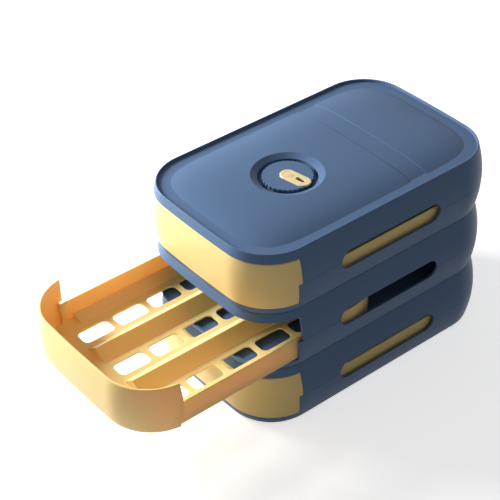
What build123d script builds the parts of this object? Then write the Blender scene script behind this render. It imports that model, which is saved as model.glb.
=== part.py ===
from build123d import *
import os
from math import asin, cos, degrees, radians, sin, sqrt, tau

# A stack of three egg boxes. Each tier is a housing, made of a cover and a base, with a tray that
# slides out of its front and a day dial sunk in its cover.
# Millimetres. X runs across, +Y to the back, +Z up. The origin is on the surface that the stack
# stands on, under the middle of the front foot. Tier shapes are drawn about the housing's middle,
# with height 0 at the bottom edge of the tier.

# Housing plan, measured along the rim
rim_width = 200.0
rim_depth = 318.8
corner_radius = 50.5
end_bow_radius = 1600.0

# Housing heights and walls
tier_names = ("bottom", "middle", "top")
tier_pitch = 72.2
side_bulge = 5.5
seam_height = 32.7
shell_wall = 2.4
plate_thickness = 2.2
floor_thickness = 2.0
floor_underside = 3.2
tier_gap = 0.6
seam_gap = 0.25

# Lap joint between base and cover
tongue_wall = 1.2
tongue_height = 3.0
lap_clearance = 0.1

# Lip, groove and raised pad on top of the cover, and the foot ring that stands in the groove. The
# pad's height falls with these powers of the distance from the middle, across and along
lip_top_width = 1.6
lip_crest = 0.7
lip_draft = 0.3
groove_depth = 2.8
groove_width = 11.4
pad_rise = 2.6
pad_side_power = 4
pad_end_power = 8
foot_side_clearance = 1.0
foot_width = 3.0
foot_chamfer = 0.4

# Shallow band across the pad
band_front = 45.6
band_back = 68.6
band_depth = 0.5

# Long slots in the two sides, centred on the seam
slot_height = 22.0
slot_length = 133.5
slot_middle = 4.85

# Front opening and the tray's wrap-round front. The jambs stand back from the front rim line
rim_face_height = 9.5
sill_height = 7.8
reveal = 0.45
cover_jamb_top_setback = 46.1
cover_jamb_seam_setback = 47.8
base_jamb_seam_setback = 43.1
base_jamb_sill_setback = 45.1
front_wall = 2.8
front_top_clearance = 0.4
edge_crest = 0.8

# Tray
tray_side_clearance = 0.7
tray_rear_clearance = 3.6
tray_wall = 2.3
tray_wall_above_seam = 1.5
tray_floor = 2.0
sill_clearance = 0.4
column_count = 3
row_count = 6
side_land = 5.2
front_land = 38.4
back_land = 22.4
opening_width = 20.0
opening_corner = 6.0
cross_bar_width = 6.0
ridge_height = 11.0
ridge_half_width = 18.0
ridge_wall = 2.0
side_slope_width = 15.0
side_slope_height = 6.0

# Slide: runners, guide ribs, and the stops that meet the tray's lugs after 200.3 mm
runner_width = 2.2
runner_inset = 0.3
slide_gap = 0.3
guide_rib_count = 3
guide_rib_pitch = 14.0
guide_rib_inset = 3.3
guide_rib_wall = 1.6
guide_rib_reach = 2.5
stop_engagement = 0.75
stop_side_clearance = 0.45
stop_length = 4.0
stop_rise = 8.8
stop_height = 5.0
stop_setback = 59.4
lug_setback = 55.1
tray_drawn_out = 146.0

# Day dial
dial_y = -42.0
dial_rim_radius = 38.0
dial_well_radius = 31.0
dial_edge_radius = 0.8
dial_cone_depth = 3.5
dial_well_depth = 8.9
well_wall = 2.0
cone_wall = 1.5
wheel_radius = 26.5
wheel_sink = 2.7
wheel_thickness = 3.6
wheel_edge_radius = 0.5
notch_count = 32
notch_radius = 1.2
notch_depth = 0.96
disc_radius = 24.5
disc_thickness = 0.8
disc_bore_radius = 7.0
hub_radius = 6.0
hub_clearance = 0.05
hub_play = 0.3
pilot_radius = 1.5
pilot_depth = 5.0
pilot_end_gap = 0.5
shank_clearance = 0.02
screw_flange_radius = 8.5
screw_flange_thickness = 0.9
screw_head_radius = 4.0
screw_head_height = 1.1
cross_width = 1.0
cross_length = 4.4
cross_depth = 0.8
pointer_angle = 10.5
pointer_width = 16.0
pointer_length = 36.2
pointer_thickness = 1.8
pointer_edge_radius = 0.6
window_length = 11.4
window_width = 4.4
window_end_wall = 6.0
pivot_ring_radius = 4.6
pivot_ring_width = 0.6
mark_gap = 1.6
mark_width = 1.2
mark_length = 4.4
mark_depth = 0.3

# How far pieces run into each other where they join, and how far a cutter runs past a face
joint_overlap = 2.0
overshoot = 1.0

# Worked out from the sizes above
cover_bottom = seam_height + seam_gap
rim_face_bottom = tier_pitch - rim_face_height
groove_level = tier_pitch - groove_depth
plate_underside = groove_level - plate_thickness
pad_offset = -(lip_top_width + groove_width)
plate_join = pad_offset - joint_overlap
pad_top = tier_pitch + pad_rise
pad_height = pad_rise + groove_depth
pad_half_width = rim_width / 2 + pad_offset
pad_half_length = rim_depth / 2 + pad_offset
floor_level = floor_underside + floor_thickness
tray_bottom = sill_height + sill_clearance
tray_floor_level = tray_bottom + tray_floor
tray_edge = -tray_side_clearance
tray_wall_top = seam_height + tray_wall_above_seam
front_top = rim_face_bottom - front_top_clearance
foot_outer = -(lip_top_width + foot_side_clearance)
foot_inner = foot_outer - foot_width
foot_middle = (foot_outer + foot_inner) / 2
foot_front = rim_depth / 2 + foot_middle
bulge_radius = ((tier_pitch / 2) ** 2 + side_bulge**2) / (2 * side_bulge)
tray_face = rim_width / 2 - tray_side_clearance
well_floor = pad_top - dial_well_depth
wheel_top = pad_top - wheel_sink
wheel_bottom = wheel_top - wheel_thickness
well_underside = well_floor - well_wall
hub_bottom = well_underside - hub_play
front_rim = -rim_depth / 2
cover_jamb_top = front_rim + cover_jamb_top_setback
cover_jamb_seam = front_rim + cover_jamb_seam_setback
base_jamb_seam = front_rim + base_jamb_seam_setback
base_jamb_sill = front_rim + base_jamb_sill_setback
stop_front = front_rim + stop_setback
stop_bottom = floor_level + stop_rise
stop_top = stop_bottom + stop_height
lug_front = rim_depth / 2 - lug_setback
column_pitch = (rim_width - 2 * side_land) / column_count
row_pitch = (rim_depth - front_land - back_land) / row_count
rows_middle = (front_land - back_land) / 2
across = 2 * rim_width
along = 2 * rim_depth


def bulge(height):
    """How far the housing's skin stands out from the rim line at a height in the tier."""
    from_middle = height - tier_pitch / 2
    return side_bulge - bulge_radius + sqrt(bulge_radius**2 - from_middle**2)


# Plan of the housing: straight sides, round corners and slightly bowed ends, all tangent


def corner_place():
    """X and Y of the back right corner's centre, and the half angle of the end bow."""
    centre_x = rim_width / 2 - corner_radius
    reach = end_bow_radius - corner_radius
    bow_centre = rim_depth / 2 - end_bow_radius
    centre_y = bow_centre + sqrt(reach**2 - centre_x**2)
    return centre_x, centre_y, degrees(asin(centre_x / reach))


def plan_face(offset, height=0.0, shorten_back=0.0):
    """The plan outline moved outward by an offset, as a face at a height."""
    centre_x, centre_y, half_bow = corner_place()
    side_x = rim_width / 2 + offset
    radius = corner_radius + offset
    corner_turn = radians(90 - half_bow)

    def half(sign, shift):
        end_y = rim_depth / 2 + offset - shift
        flank_y = centre_y - shift
        bow_x = centre_x + radius * cos(corner_turn)
        bow_y = flank_y + radius * sin(corner_turn)
        mid_x = centre_x + radius * cos(corner_turn / 2)
        mid_y = flank_y + radius * sin(corner_turn / 2)
        right = ThreePointArc(
            (side_x, sign * flank_y, height), (mid_x, sign * mid_y, height), (bow_x, sign * bow_y, height)
        )
        end = ThreePointArc(
            (bow_x, sign * bow_y, height), (0, sign * end_y, height), (-bow_x, sign * bow_y, height)
        )
        left = ThreePointArc(
            (-bow_x, sign * bow_y, height), (-mid_x, sign * mid_y, height), (-side_x, sign * flank_y, height)
        )
        return [right, end, left], sign * flank_y

    back, back_y = half(1, shorten_back)
    front, front_y = half(-1, 0.0)
    sides = [Line((x, front_y, height), (x, back_y, height)) for x in (side_x, -side_x)]
    return Face(Wire(back + front + sides))


def plan_slab(offset, low, high, shorten_back=0.0):
    return extrude(plan_face(offset, low, shorten_back), amount=high - low, dir=(0, 0, 1))


def carried_round(profile, shorten_back=0.0):
    """Carry a profile all the way round the plan. Its X is the offset from the rim line."""
    centre_x, centre_y, half_bow = corner_place()
    back_y = centre_y - shorten_back
    flank = extrude(Pos(rim_width / 2, -centre_y, 0) * profile, amount=centre_y + back_y, dir=(0, 1, 0))

    def end(flank_y, bow_centre):
        corner_axis = Axis((centre_x, flank_y, 0), (0, 0, 1))
        corner = revolve(Pos(rim_width / 2, flank_y, 0) * profile, corner_axis, 90 - half_bow)
        bow_axis = Axis((0, bow_centre, 0), (0, 0, 1))
        start = Pos(end_bow_radius, bow_centre, 0) * profile
        bow = revolve(start.rotate(bow_axis, 90 - half_bow), bow_axis, 2 * half_bow)
        return corner + bow + mirror(corner, Plane.YZ)

    bow_centre = rim_depth / 2 - end_bow_radius
    back = end(back_y, bow_centre - shorten_back)
    front = mirror(end(centre_y, bow_centre), Plane.XZ)
    return flank + mirror(flank, Plane.YZ) + back + front


def profile_of(*edges):
    return Face(Wire(list(edges)))


def skin_arc(low, high, inset=0.0):
    """The bulged skin between two heights, moved inward by an inset."""
    middle = (low + high) / 2
    points = [(bulge(z) - inset, 0, z) for z in (low, middle, high)]
    return ThreePointArc(*points)


def chain(*points):
    """Straight lines through points given as offset and height."""
    spots = [(u, 0, z) for u, z in points]
    return [Line(a, b) for a, b in zip(spots, spots[1:])]


def side_view_prism(*points):
    """A block across the whole width, drawn as points of Y and height."""
    face = Face(Wire(Polyline(*[(-across / 2, y, z) for y, z in points], close=True)))
    return extrude(face, amount=across, dir=(1, 0, 0))


def both_sides(solid):
    return solid + mirror(solid, Plane.YZ)


def block(low, high):
    size = [b - a for a, b in zip(low, high)]
    middle = [(a + b) / 2 for a, b in zip(low, high)]
    return Pos(*middle) * Box(*size)


def disc_at(radius, low, high, x=0.0, y=0.0):
    return Pos(x, y, (low + high) / 2) * Cylinder(radius, high - low)


def filled_body(low, high, inset):
    """A full block between two heights, inside the bulged skin by an inset."""
    skin = skin_arc(low, high, inset)
    core = plate_join - joint_overlap
    rest = chain((bulge(high) - inset, high), (core, high), (core, low), (bulge(low) - inset, low))
    return carried_round(profile_of(skin, *rest)) + plan_slab(plate_join, low, high)


def slots_cut():
    """Both side slots, with round ends, through both walls."""
    outline = Plane.YZ * SlotOverall(slot_length, slot_height)
    return Pos(0, slot_middle, seam_height) * extrude(outline, amount=across / 2, both=True)


# Cover: bulged upper shell with the lip, groove, pillow-shaped pad and dial well


def pillow(lowered=0.0):
    """A large block whose top is the pad's pillow, flat in the middle and drooping to the groove."""
    half_width, half_length = rim_width / 2, rim_depth / 2
    side_drop = pad_height * (half_width / pad_half_width) ** pad_side_power
    end_drop = pad_height * (half_length / pad_half_length) ** pad_end_power

    def control(i, j):
        x = half_width * (2 * i / pad_side_power - 1)
        y = half_length * (2 * j / pad_end_power - 1)
        return (x, y, pad_top - lowered - side_drop * (-1) ** i - end_drop * (-1) ** j)

    rows = [[control(i, j) for j in range(pad_end_power + 1)] for i in range(pad_side_power + 1)]
    return extrude(Face.make_bezier_surface(rows), amount=tier_pitch, dir=(0, 0, -1))


def cover_shell():
    crest_start = tier_pitch - lip_crest
    outer = skin_arc(cover_bottom, crest_start)
    crest_outer = bulge(crest_start)
    crest = ThreePointArc(
        (crest_outer, 0, crest_start),
        ((crest_outer - lip_top_width) / 2, 0, tier_pitch),
        (-lip_top_width, 0, crest_start),
    )
    rabbet_top = seam_height + tongue_height
    inner_low = bulge(rabbet_top) - shell_wall
    lap_face = tongue_wall + lap_clearance - shell_wall
    top = chain(
        (-lip_top_width, crest_start),
        (-lip_top_width - lip_draft, groove_level),
        (plate_join, groove_level),
        (plate_join, plate_underside),
        (bulge(plate_underside) - shell_wall, plate_underside),
    )
    inner = skin_arc(rabbet_top, plate_underside, shell_wall)
    lap = chain(
        (inner_low, rabbet_top),
        (bulge(rabbet_top) + lap_face, rabbet_top),
        (bulge(cover_bottom) + lap_face, cover_bottom),
        (bulge(cover_bottom), cover_bottom),
    )
    return carried_round(profile_of(outer, crest, *top, inner, *lap))


def air_over_pad(front, back, lowered=0.0):
    """The space over the groove's level and the pillow, between two places along the cover."""
    return block((-across, front, groove_level), (across, back, pad_top + overshoot)) - pillow(lowered)


def dial_well():
    """The hollow of the dial well, as one solid to cut away."""
    cone_bottom = pad_top - dial_cone_depth
    cone = Cone(dial_well_radius, dial_rim_radius, dial_cone_depth)
    cone = Pos(0, dial_y, (pad_top + cone_bottom) / 2) * cone
    return cone + disc_at(dial_well_radius, well_floor, cone_bottom, y=dial_y)


def cover_deck():
    """The pad with its hollow underside, the dial well and the shallow band."""
    pad = plan_slab(pad_offset + overshoot, plate_underside, pad_top) - air_over_pad(-along, along)
    hollow = plan_slab(pad_offset - plate_thickness, plate_underside - overshoot, pad_top)
    hollow &= pillow(plate_thickness)
    cup = disc_at(dial_well_radius + well_wall, well_underside, pad_top, y=dial_y)
    cup += disc_at(dial_rim_radius + cone_wall, pad_top - dial_cone_depth - well_wall, pad_top, y=dial_y)
    deck = pad - hollow + (cup & pillow(plate_thickness / 2)) - dial_well()

    rim_length = tau * dial_rim_radius
    curved_edges = deck.edges().filter_by(GeomType.BSPLINE)
    rim_edge = curved_edges.sort_by(lambda edge: abs(edge.length - rim_length))[0]
    deck = fillet(rim_edge, dial_edge_radius)

    bore = disc_at(hub_radius + hub_clearance, well_underside - overshoot, well_floor + overshoot, y=dial_y)
    return deck - bore - air_over_pad(band_front, band_back, band_depth)


def guide_ribs():
    """Ribs inside both side walls that keep the tray's walls down. They clear the base's tongue."""
    inner = tray_face - guide_rib_reach
    bottom = tray_wall_top + slide_gap
    outer = rim_width / 2 + side_bulge
    step_x = outer - shell_wall - slide_gap
    step_z = seam_height + tongue_height + slide_gap
    top = groove_level - overshoot
    edges = chain(
        (inner, bottom),
        (step_x, bottom),
        (step_x, step_z),
        (outer, step_z),
        (outer, top),
        (inner, top),
        (inner, bottom),
    )
    rib = extrude(profile_of(*edges), amount=guide_rib_wall, dir=(0, 1, 0))
    last = corner_place()[1] - guide_rib_inset - guide_rib_wall
    back_ribs = [Pos(0, last - i * guide_rib_pitch, 0) * rib for i in range(guide_rib_count)]
    ribs = Compound(back_ribs) + mirror(Compound(back_ribs), Plane.XZ)
    return both_sides(ribs & filled_body(cover_bottom, plate_underside, shell_wall / 2))


def build_cover():
    front = side_view_prism(
        (-along, 0),
        (-along, rim_face_bottom),
        (cover_jamb_top, rim_face_bottom),
        (cover_jamb_seam, seam_height),
        (cover_jamb_seam, 0),
    )
    return cover_shell() + cover_deck() + guide_ribs() - front - slots_cut()


# Base: bulged lower shell with floor, foot ring, tongue, runners and travel stops


def base_shell():
    outer = skin_arc(tier_gap, seam_height)
    tongue_top = seam_height + tongue_height
    tongue_face = tongue_wall - shell_wall
    tongue = chain(
        (bulge(seam_height), seam_height),
        (bulge(seam_height) + tongue_face, seam_height),
        (bulge(tongue_top) + tongue_face, tongue_top),
        (bulge(tongue_top) - shell_wall, tongue_top),
    )
    inner = skin_arc(floor_level, tongue_top, shell_wall)
    under = chain(
        (bulge(floor_level) - shell_wall, floor_level),
        (plate_join, floor_level),
        (plate_join, floor_underside),
        (foot_inner, floor_underside),
        (foot_inner, foot_chamfer - groove_depth),
        (foot_inner + foot_chamfer, -groove_depth),
        (foot_outer - foot_chamfer, -groove_depth),
        (foot_outer, foot_chamfer - groove_depth),
        (foot_outer, tier_gap),
        (bulge(tier_gap), tier_gap),
    )
    return carried_round(profile_of(outer, *tongue, inner, *under))


def build_base():
    base = base_shell() + plan_slab(plate_join, floor_underside, floor_level)
    runner_outer = tray_face - runner_inset
    flank_end = corner_place()[1]
    runner = block(
        (runner_outer - runner_width, -flank_end, floor_level),
        (runner_outer, flank_end, tray_bottom - slide_gap),
    )
    stop = block(
        (tray_face + stop_side_clearance, stop_front, stop_bottom),
        (rim_width / 2 + bulge(stop_bottom) - shell_wall / 2, stop_front + stop_length, stop_top),
    )
    base += both_sides(runner)
    base += both_sides(stop)
    opening = side_view_prism(
        (-along, sill_height),
        (base_jamb_sill, sill_height),
        (base_jamb_seam, seam_height),
        (-along, seam_height),
    )
    tongue_front = side_view_prism(
        (-along, seam_height),
        (cover_jamb_seam + reveal, seam_height),
        (cover_jamb_seam + reveal, tier_pitch),
        (-along, tier_pitch),
    )
    return base - opening - tongue_front - slots_cut()


# Tray: wrap-round front, low walls, and a floor with ridges and open egg seats


def crested_wall(thickness, high, upright_face=None):
    """Profile of a wall with a rounded top edge, upright or following the housing's bulge."""
    low = tray_bottom
    crest_start = high - edge_crest
    if upright_face is None:
        foot_face, top_face = bulge(low), bulge(crest_start)
        outer = skin_arc(low, crest_start)
        inner = skin_arc(low, crest_start, thickness)
    else:
        foot_face = top_face = upright_face
        outer = Line((foot_face, 0, low), (foot_face, 0, crest_start))
        inner = Line((foot_face - thickness, 0, low), (foot_face - thickness, 0, crest_start))
    crest = ThreePointArc(
        (top_face, 0, crest_start),
        (top_face - thickness / 2, 0, high),
        (top_face - thickness, 0, crest_start),
    )
    foot = Line((foot_face - thickness, 0, low), (foot_face, 0, low))
    return profile_of(outer, crest, inner, foot)


def wing_region():
    """Everything in front of the wings' back edges, which follow the housing's jambs."""
    return side_view_prism(
        (-along, 0),
        (base_jamb_sill - reveal, 0),
        (base_jamb_sill - reveal, sill_height),
        (base_jamb_seam - reveal, seam_height + reveal),
        (cover_jamb_seam - reveal, seam_height + reveal),
        (cover_jamb_top - reveal, rim_face_bottom),
        (-along, rim_face_bottom),
    )


def column_places():
    first = -(column_count - 1) / 2 * column_pitch
    return [first + i * column_pitch for i in range(column_count)]


def row_places():
    first = rows_middle - (row_count - 1) / 2 * row_pitch
    return [first + i * row_pitch for i in range(row_count)]


def ridge_prism(half_width, peak, end_wall=0.0):
    """A ridge along the tray between two columns, drawn from its crest line down to the underside."""
    half_length = row_count * row_pitch / 2 - end_wall
    left_foot = (-half_width, tray_bottom)
    edges = chain(left_foot, (half_width, tray_bottom), (0, peak), left_foot)
    section = Pos(0, rows_middle - half_length, 0) * profile_of(*edges)
    return extrude(section, amount=2 * half_length, dir=(0, 1, 0))


def side_slope():
    """The floor's slope up to one side wall."""
    wall = tray_face - tray_wall / 2
    foot = tray_face - tray_wall - side_slope_width
    low = tray_floor_level - tray_floor / 2
    edges = chain(
        (foot, low),
        (wall, low),
        (wall, tray_floor_level + side_slope_height),
        (foot, tray_floor_level),
        (foot, low),
    )
    half_length = corner_place()[1] - tray_rear_clearance
    section = Pos(0, -half_length, 0) * profile_of(*edges)
    return extrude(section, amount=2 * half_length, dir=(0, 1, 0))


def tray_shell():
    """The wrap-round front, the low walls, the webs that join them and the flat floor."""
    front = carried_round(crested_wall(front_wall, front_top)) & wing_region()
    low_wall = carried_round(crested_wall(tray_wall, tray_wall_top, tray_edge), tray_rear_clearance)
    wing_back = base_jamb_seam - reveal
    web_front = wing_back - tray_wall
    low_wall -= block((-across, -along, 0), (across, web_front, tier_pitch))
    web_top = tray_wall_top - edge_crest
    web = block((tray_face - tray_wall, web_front, tray_bottom), (across, wing_back, web_top))
    floor_front = block((-across, -along, tray_bottom), (across, wing_back, tray_floor_level))
    inside_front = filled_body(tray_bottom, front_top, front_wall / 2)
    floor_back = plan_slab(tray_edge, tray_bottom, tray_floor_level, tray_rear_clearance)
    return front + low_wall + ((both_sides(web) + floor_front) & inside_front) + floor_back


def build_tray():
    tray = tray_shell() + both_sides(side_slope())
    columns = column_places()
    peak = tray_floor_level + ridge_height
    drop = ridge_wall * sqrt(ridge_height**2 + ridge_half_width**2) / ridge_half_width
    for left, right in zip(columns, columns[1:]):
        crest_line = Pos((left + right) / 2, 0, 0)
        tray += crest_line * ridge_prism(ridge_half_width, peak)
        tray -= crest_line * ridge_prism(ridge_half_width - 2 * ridge_wall, peak - drop, ridge_wall)

    seat = RectangleRounded(opening_width, row_pitch - cross_bar_width, opening_corner)
    opening = extrude(seat, amount=2 * tray_floor, both=True)
    for x in columns:
        for y in row_places():
            tray -= Pos(x, y, tray_bottom) * opening

    lug = block(
        (tray_face - tray_wall / 2, lug_front, stop_bottom),
        (tray_face + stop_side_clearance + stop_engagement, lug_front + stop_length, stop_top),
    )
    return tray + both_sides(lug)


# Day dial: printed disc on the well floor, knurled wheel, pointer and retaining screw


def window_cut(low, high):
    """The reading window near the wheel's edge, in the pointer's own direction."""
    outer_end = pointer_length - pointer_width / 2
    middle = outer_end - window_end_wall - window_length / 2
    slot = SlotOverall(window_length, window_width)
    return Pos(middle, 0, low) * extrude(slot, amount=high - low, dir=(0, 0, 1))


def turned_to_pointer(solid):
    return Pos(0, dial_y, 0) * Rot(0, 0, pointer_angle) * solid


def build_disc():
    disc = disc_at(disc_radius, well_floor, well_floor + disc_thickness, y=dial_y)
    bore_top = well_floor + disc_thickness + overshoot
    return disc - disc_at(disc_bore_radius, well_floor - overshoot, bore_top, y=dial_y)


def build_wheel():
    wheel = disc_at(wheel_radius, wheel_bottom, wheel_top)
    wheel = fillet(wheel.edges().group_by(Axis.Z)[-1], wheel_edge_radius)
    notch_place = wheel_radius + notch_radius - notch_depth
    notch = disc_at(notch_radius, wheel_bottom - overshoot, wheel_top + overshoot, x=notch_place)
    for i in range(notch_count):
        wheel -= Rot(0, 0, 360 / notch_count * i) * notch
    wheel += disc_at(hub_radius, hub_bottom, wheel_bottom)
    wheel -= disc_at(pilot_radius, hub_bottom, hub_bottom + pilot_depth)
    wheel -= window_cut(wheel_bottom - overshoot, wheel_top + overshoot)
    return turned_to_pointer(wheel)


def build_pointer():
    top = wheel_top + pointer_thickness
    middle = Pos((pointer_length - pointer_width) / 2, 0, wheel_top)
    pill = extrude(middle * SlotOverall(pointer_length, pointer_width), amount=pointer_thickness)
    pill = fillet(pill.edges().group_by(Axis.Z)[-1], pointer_edge_radius)
    ring = disc_at(pivot_ring_radius, top - mark_depth, top + overshoot)
    ring -= disc_at(pivot_ring_radius - pivot_ring_width, top - mark_depth, top + overshoot)
    mark_start = pivot_ring_radius + mark_gap
    mark = block(
        (mark_start, -mark_length / 2, top - mark_depth),
        (mark_start + mark_width, mark_length / 2, top + overshoot),
    )
    return turned_to_pointer(pill - ring - mark - window_cut(wheel_top - overshoot, top + overshoot))


def build_screw():
    flange_bottom = hub_bottom - screw_flange_thickness
    head_bottom = flange_bottom - screw_head_height
    screw = disc_at(screw_flange_radius, flange_bottom, hub_bottom)
    screw += disc_at(screw_head_radius, head_bottom, flange_bottom)
    screw += disc_at(pilot_radius - shank_clearance, hub_bottom, hub_bottom + pilot_depth - pilot_end_gap)
    for angle in (0, 90):
        arm = Pos(0, 0, head_bottom) * Box(cross_length, cross_width, 2 * cross_depth)
        screw -= Rot(0, 0, angle) * arm
    return Pos(0, dial_y, 0) * screw


os.makedirs("parts", exist_ok=True)
shapes = {
    "cover": build_cover(),
    "base": build_base(),
    "tray": build_tray(),
    "number_disc": build_disc(),
    "dial_wheel": build_wheel(),
    "dial_pointer": build_pointer(),
    "dial_screw": build_screw(),
}
for level, tier in enumerate(tier_names):
    lift = groove_depth + level * tier_pitch
    for name, shape in shapes.items():
        out = tray_drawn_out if (tier, name) == ("middle", "tray") else 0.0
        node = f"{tier}_{name}"
        placed = Pos(0, foot_front - out, lift) * shape
        placed.label = node
        export_step(placed, f"parts/{node}.step")
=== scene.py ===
import bmesh
import bpy
from math import cos, pi, radians, sin
from mathutils import Matrix, Vector


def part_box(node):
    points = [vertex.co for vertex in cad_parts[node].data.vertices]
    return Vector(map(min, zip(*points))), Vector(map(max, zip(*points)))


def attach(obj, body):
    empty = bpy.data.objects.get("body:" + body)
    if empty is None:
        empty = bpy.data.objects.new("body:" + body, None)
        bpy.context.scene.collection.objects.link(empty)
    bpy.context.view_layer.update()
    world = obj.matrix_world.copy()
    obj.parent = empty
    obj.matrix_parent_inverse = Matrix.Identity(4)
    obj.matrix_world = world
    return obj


# A stack of three egg boxes for a kitchen shelf or fridge, moulded in slate blue and warm yellow
# plastic. Each tier has a base, a cover, an egg tray that slides out of its front, and a day dial
# sunk in its lid. Metres, +Z up, with the drawers pulled towards -Y.

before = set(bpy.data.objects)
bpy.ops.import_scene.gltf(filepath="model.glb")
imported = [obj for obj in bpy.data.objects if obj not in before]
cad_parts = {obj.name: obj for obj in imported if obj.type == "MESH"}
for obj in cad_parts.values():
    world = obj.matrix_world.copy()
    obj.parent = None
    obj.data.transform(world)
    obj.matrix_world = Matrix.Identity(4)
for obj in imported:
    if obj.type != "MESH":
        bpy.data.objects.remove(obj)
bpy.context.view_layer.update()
tiers = ("bottom", "middle", "top")


# Bases. The lower half of each housing, injection moulded with a fine spark-eroded grain that
# breaks up the shine. The foot ring under it stands in the groove of the lid below.

slate_blue = (0.097, 0.166, 0.295, 1)
plastic_gleam = 0.15
drift_scale = 9
touch_scale = 45
gloss_spread = 0.05
grain_scale = 2400
grain_depth = 0.00003


def noise(nodes, links, place, scale, detail):
    """An uneven pattern that stays with its piece as the piece moves."""
    pattern = nodes.new("ShaderNodeTexNoise")
    pattern.inputs["Scale"].default_value = scale
    pattern.inputs["Detail"].default_value = detail
    links.new(place.outputs["Object"], pattern.inputs["Vector"])
    return pattern.outputs["Fac"]


def moulded_plastic(name, colour, roughness=0.42, tone=0.05, edge=0.0004, grain=0.5):
    """Satin moulded plastic: soft drift in tone, uneven gloss, fine grain and eased edges."""
    material = bpy.data.materials.new(name)
    material.use_nodes = True
    nodes, links = material.node_tree.nodes, material.node_tree.links
    shader = nodes["Principled BSDF"]
    shader.inputs["Specular IOR Level"].default_value = plastic_gleam
    place = nodes.new("ShaderNodeTexCoord")

    shade = nodes.new("ShaderNodeMix")
    shade.data_type = "RGBA"
    shade.inputs["A"].default_value = [c * (1 - tone) for c in colour[:3]] + [1]
    shade.inputs["B"].default_value = [c * (1 + tone) for c in colour[:3]] + [1]
    links.new(noise(nodes, links, place, drift_scale, detail=3), shade.inputs["Factor"])
    links.new(shade.outputs["Result"], shader.inputs["Base Color"])

    gloss = nodes.new("ShaderNodeMapRange")
    gloss.inputs["To Min"].default_value = roughness - gloss_spread
    gloss.inputs["To Max"].default_value = roughness + gloss_spread
    links.new(noise(nodes, links, place, touch_scale, detail=5), gloss.inputs["Value"])
    links.new(gloss.outputs["Result"], shader.inputs["Roughness"])

    eased = nodes.new("ShaderNodeBevel")
    eased.samples = 6
    eased.inputs["Radius"].default_value = edge
    bump = nodes.new("ShaderNodeBump")
    bump.inputs["Strength"].default_value = grain
    bump.inputs["Distance"].default_value = grain_depth
    links.new(noise(nodes, links, place, grain_scale, detail=2), bump.inputs["Height"])
    links.new(eased.outputs["Normal"], bump.inputs["Normal"])
    links.new(bump.outputs["Normal"], shader.inputs["Normal"])
    return material


def finish(node, material):
    """A CAD node keeps its mesh and takes this finish."""
    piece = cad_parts[node]
    piece.data.materials.clear()
    piece.data.materials.append(material)


housing_blue = moulded_plastic("housing_blue", slate_blue)
for tier in tiers:
    finish(f"{tier}_base", housing_blue)


# Number discs. A pale disc lies on the floor of each dial well, printed with the days of the month
# in dark ink. One number at a time shows through the pointer's window.

disc_cream = moulded_plastic("disc_cream", (0.86, 0.72, 0.44, 1), roughness=0.35, tone=0.02)
ink = moulded_plastic("number_ink", (0.02, 0.025, 0.035, 1), roughness=0.6, tone=0.02)
number_radius = 0.0165
number_height = 0.0031
ink_thickness = 0.00006
last_day = 31
for tier in tiers:
    finish(f"{tier}_number_disc", disc_cream)
    low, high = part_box(f"{tier}_number_disc")
    centre = Vector(((low.x + high.x) / 2, (low.y + high.y) / 2, high.z))
    numbers = bmesh.new()
    for day in range(1, last_day + 1):
        words = bpy.data.curves.new("day", "FONT")
        words.body = str(day)
        words.size = number_height
        words.align_x, words.align_y = "CENTER", "CENTER"
        words.extrude = ink_thickness / 2
        words.resolution_u = 2
        digit = bpy.data.objects.new("day", words)
        bpy.context.scene.collection.objects.link(digit)
        shape = bpy.data.meshes.new_from_object(digit)
        turn = Matrix.Rotation(-2 * pi * day / last_day, 4, "Z")
        outwards = Matrix.Translation((0, number_radius, 0))
        shape.transform(Matrix.Translation(centre) @ turn @ outwards)
        numbers.from_mesh(shape)
        bpy.data.objects.remove(digit)
        bpy.data.curves.remove(words)
        bpy.data.meshes.remove(shape)
    mesh = bpy.data.meshes.new(f"{tier}_day_numbers")
    numbers.to_mesh(mesh)
    numbers.free()
    mesh.materials.append(ink)
    printed = bpy.data.objects.new(mesh.name, mesh)
    bpy.context.scene.collection.objects.link(printed)
    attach(printed, f"{tier}_housing")


# Covers. The upper half of each housing: bulged walls, the lip and groove that hold the tier
# above, and the domed lid with its shallow band and the sunk well for the dial.

for tier in tiers:
    finish(f"{tier}_cover", housing_blue)


# Dials. A notched wheel turns in the well with a pale pointer fixed on it, and a flanged screw
# under the lid holds its hub.

wheel_blue = moulded_plastic("wheel_blue", slate_blue, roughness=0.38, edge=0.0003)
pointer_cream = moulded_plastic("pointer_cream", (0.92, 0.75, 0.41, 1), roughness=0.36,
                                tone=0.02, edge=0.0003)
screw_blue = moulded_plastic("screw_blue", (0.05, 0.08, 0.14, 1), roughness=0.5,
                             tone=0.02, edge=0.0002)
for tier in tiers:
    finish(f"{tier}_dial_wheel", wheel_blue)
    finish(f"{tier}_dial_pointer", pointer_cream)
    finish(f"{tier}_dial_screw", screw_blue)


# Trays. Each is one yellow moulding: the wrap-round front that closes its tier, low side walls, and
# a floor of three troughs with open seats. Its thin walls let some light through.

tray_yellow = moulded_plastic("tray_yellow", (0.97, 0.69, 0.30, 1), roughness=0.40, tone=0.03)
thin_wall = tray_yellow.node_tree.nodes["Principled BSDF"]
thin_wall.inputs["Subsurface Weight"].default_value = 0.4
thin_wall.inputs["Subsurface Radius"].default_value = (1.0, 0.5, 0.2)
thin_wall.inputs["Subsurface Scale"].default_value = 0.006
for tier in tiers:
    finish(f"{tier}_tray", tray_yellow)


# The room: a pale floor in soft even light, and one key light to the left of the drawers' front.
# The camera looks down from the front right, as the photograph does.

floor_reach = 6
paper_grey = (0.75, 0.75, 0.75, 1)
paper_glow = 0.65
white = (1, 1, 1, 1)
even_light, white_level = 0.2, 1.0
stack_middle = Vector((0.0, 0.09, 0.12))


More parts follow.
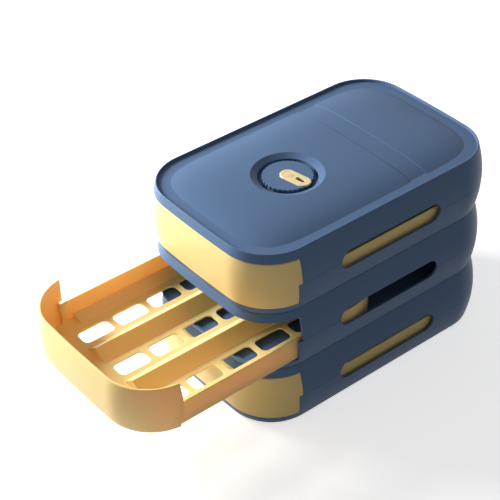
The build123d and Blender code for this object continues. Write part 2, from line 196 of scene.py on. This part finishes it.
def seen_or_mirrored(nodes, links):
    """1 where the camera or a shiny surface sees this, and 0 for the light that it gives."""
    path = nodes.new("ShaderNodeLightPath")
    either = nodes.new("ShaderNodeMath")
    either.operation = "MAXIMUM"
    links.new(path.outputs["Is Camera Ray"], either.inputs[0])
    links.new(path.outputs["Is Glossy Ray"], either.inputs[1])
    return either.outputs["Value"]


floor_mesh = bpy.data.meshes.new("floor")
sheet = bmesh.new()
bmesh.ops.create_grid(sheet, x_segments=1, y_segments=1, size=floor_reach)
sheet.to_mesh(floor_mesh)
sheet.free()
paper = bpy.data.materials.new("floor_paper")
paper.use_nodes = True
nodes, links = paper.node_tree.nodes, paper.node_tree.links
sheet_surface = nodes["Principled BSDF"]
sheet_surface.inputs["Base Color"].default_value = paper_grey
sheet_surface.inputs["Roughness"].default_value = 0.9
sheet_surface.inputs["Emission Color"].default_value = white
glow = nodes.new("ShaderNodeMath")
glow.operation = "MULTIPLY"
glow.inputs[1].default_value = paper_glow
links.new(seen_or_mirrored(nodes, links), glow.inputs[0])
links.new(glow.outputs["Value"], sheet_surface.inputs["Emission Strength"])
floor_mesh.materials.append(paper)
floor = bpy.data.objects.new("floor", floor_mesh)
bpy.context.scene.collection.objects.link(floor)


def soft_light(name, azimuth, elevation, distance, size, power):
    """A square lamp aimed at the middle of the stack."""
    lamp = bpy.data.lights.new(name, "AREA")
    lamp.shape = "SQUARE"
    lamp.size = size
    lamp.energy = power
    light = bpy.data.objects.new(name, lamp)
    turn, rise = radians(azimuth), radians(elevation)
    way = Vector((sin(turn) * cos(rise), -cos(turn) * cos(rise), sin(rise)))
    light.location = stack_middle + distance * way
    light.rotation_euler = way.to_track_quat("Z", "Y").to_euler()
    bpy.context.scene.collection.objects.link(light)


soft_light("key", azimuth=-62, elevation=24, distance=1.1, size=0.4, power=26)

room = bpy.data.worlds.new("room")
room.use_nodes = True
nodes, links = room.node_tree.nodes, room.node_tree.links
background = nodes["Background"]
level = nodes.new("ShaderNodeMapRange")
level.inputs["To Min"].default_value = even_light
level.inputs["To Max"].default_value = white_level
links.new(seen_or_mirrored(nodes, links), level.inputs["Value"])
background.inputs["Color"].default_value = white
links.new(level.outputs["Result"], background.inputs["Strength"])
bpy.context.scene.world = room
bpy.context.scene.view_settings.view_transform = "Standard"

azimuth, elevation, roll = radians(52.079), radians(37.539), radians(-1.734)
looked_at = Vector((0.07113, 0.00701, 0.2194))
camera_distance = 1.41844
back = Vector((sin(azimuth) * cos(elevation), -cos(azimuth) * cos(elevation), sin(elevation)))
level_right = Vector((cos(azimuth), sin(azimuth), 0))
level_up = back.cross(level_right)
right = cos(roll) * level_right + sin(roll) * level_up
up = cos(roll) * level_up - sin(roll) * level_right
lens = bpy.data.cameras.new("photo_camera")
lens.sensor_width = 36
lens.lens = 108.525
camera = bpy.data.objects.new("photo_camera", lens)
turned = Matrix((right, up, back)).transposed().to_4x4()
camera.matrix_world = Matrix.Translation(looked_at + camera_distance * back) @ turned
bpy.context.scene.collection.objects.link(camera)
bpy.context.scene.camera = camera
